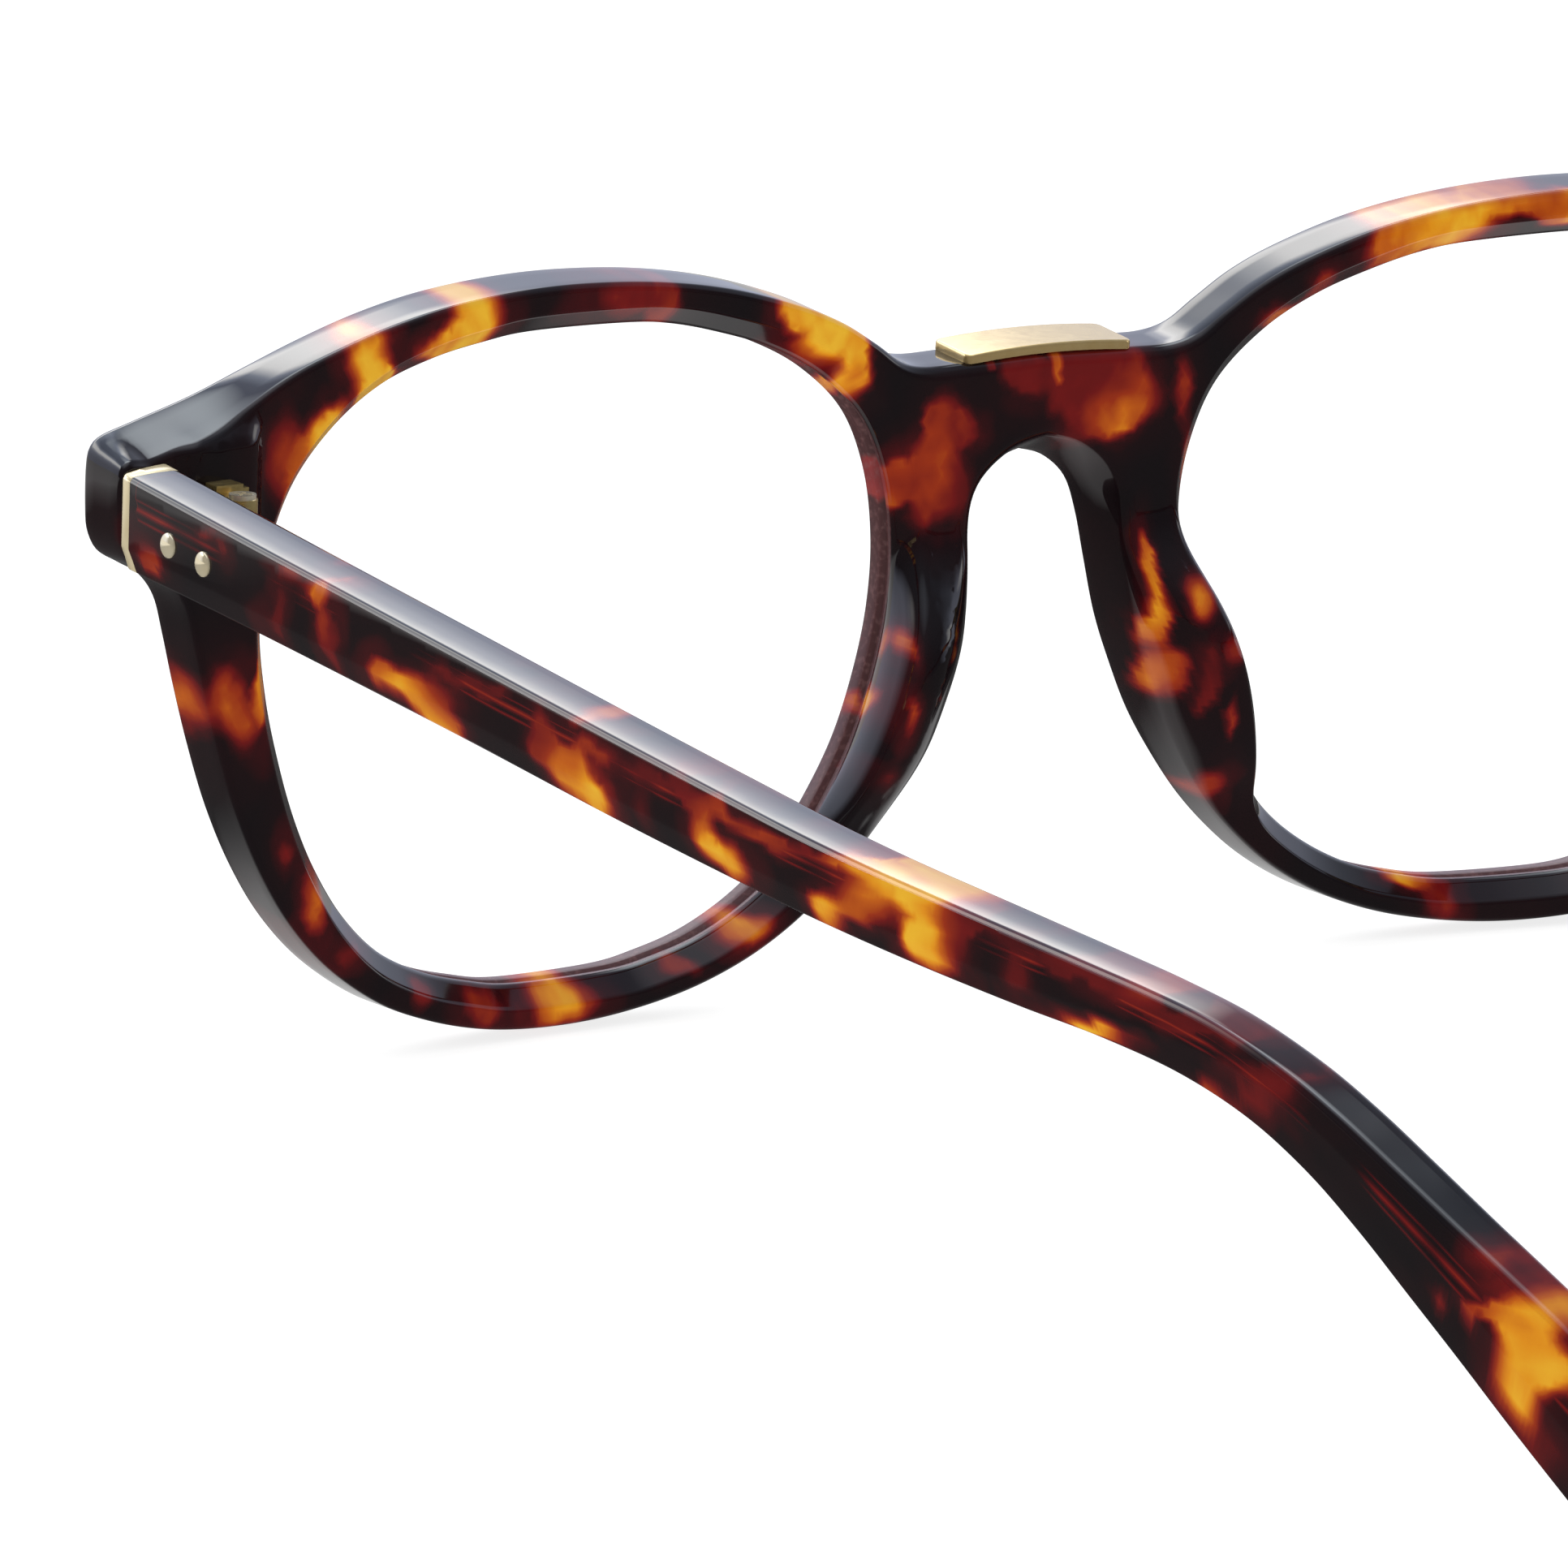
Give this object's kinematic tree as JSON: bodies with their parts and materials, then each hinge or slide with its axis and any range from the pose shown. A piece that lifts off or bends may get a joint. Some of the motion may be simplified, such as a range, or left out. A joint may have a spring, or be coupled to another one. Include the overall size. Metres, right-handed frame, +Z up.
{
  "type": "eyeglasses frame",
  "caption": "Full-rim acetate eyeglasses frame with rounded lens openings, built-up nose pads, an inlaid bridge plate and folding temples on barrel hinges.",
  "frame": {"origin": "middle of the bridge, on the rear face of the front, at the height of the lens centre line", "axes": "+X towards the wearer's left, -Y the way the front faces, +Y back along the open temples, +Z up"},
  "size_m": [0.1448, 0.1678, 0.0471],
  "materials": {
    "acetate": "polished translucent tortoiseshell acetate, near-black brown with red, orange and amber patches",
    "gold": "polished pale gold plating",
    "hinge": "satin gold plated hinge metal"
  },
  "bodies": {
    "front": {"front_frame": "acetate", "nose_pad_left": "acetate", "nose_pad_right": "acetate", "bridge_plate": "gold", "bridge_pin_left": "gold", "bridge_pin_right": "gold", "hinge_front_left": "hinge", "hinge_front_right": "hinge", "hinge_screw_left": "hinge", "hinge_screw_right": "hinge"},
    "temple_left": {"temple_arm_left": "acetate", "temple_cap_left": "gold", "hinge_temple_left": "hinge", "rivet_left_1": "gold", "rivet_left_2": "gold"},
    "temple_right": {"temple_arm_right": "acetate", "temple_cap_right": "gold", "hinge_temple_right": "hinge", "rivet_right_1": "gold", "rivet_right_2": "gold"}
  },
  "joints": [
    {"name": "temple_left_fold", "type": "hinge", "parent": "front", "child": "temple_left", "pos_m": [0.0646, 0.0095, 0.01127], "axis": [0, 0, 1], "range_deg": [0, 90]},
    {"name": "temple_right_fold", "type": "hinge", "parent": "front", "child": "temple_right", "pos_m": [-0.0646, 0.0095, 0.01127], "axis": [0, 0, -1], "range_deg": [0, 84]}
  ]
}
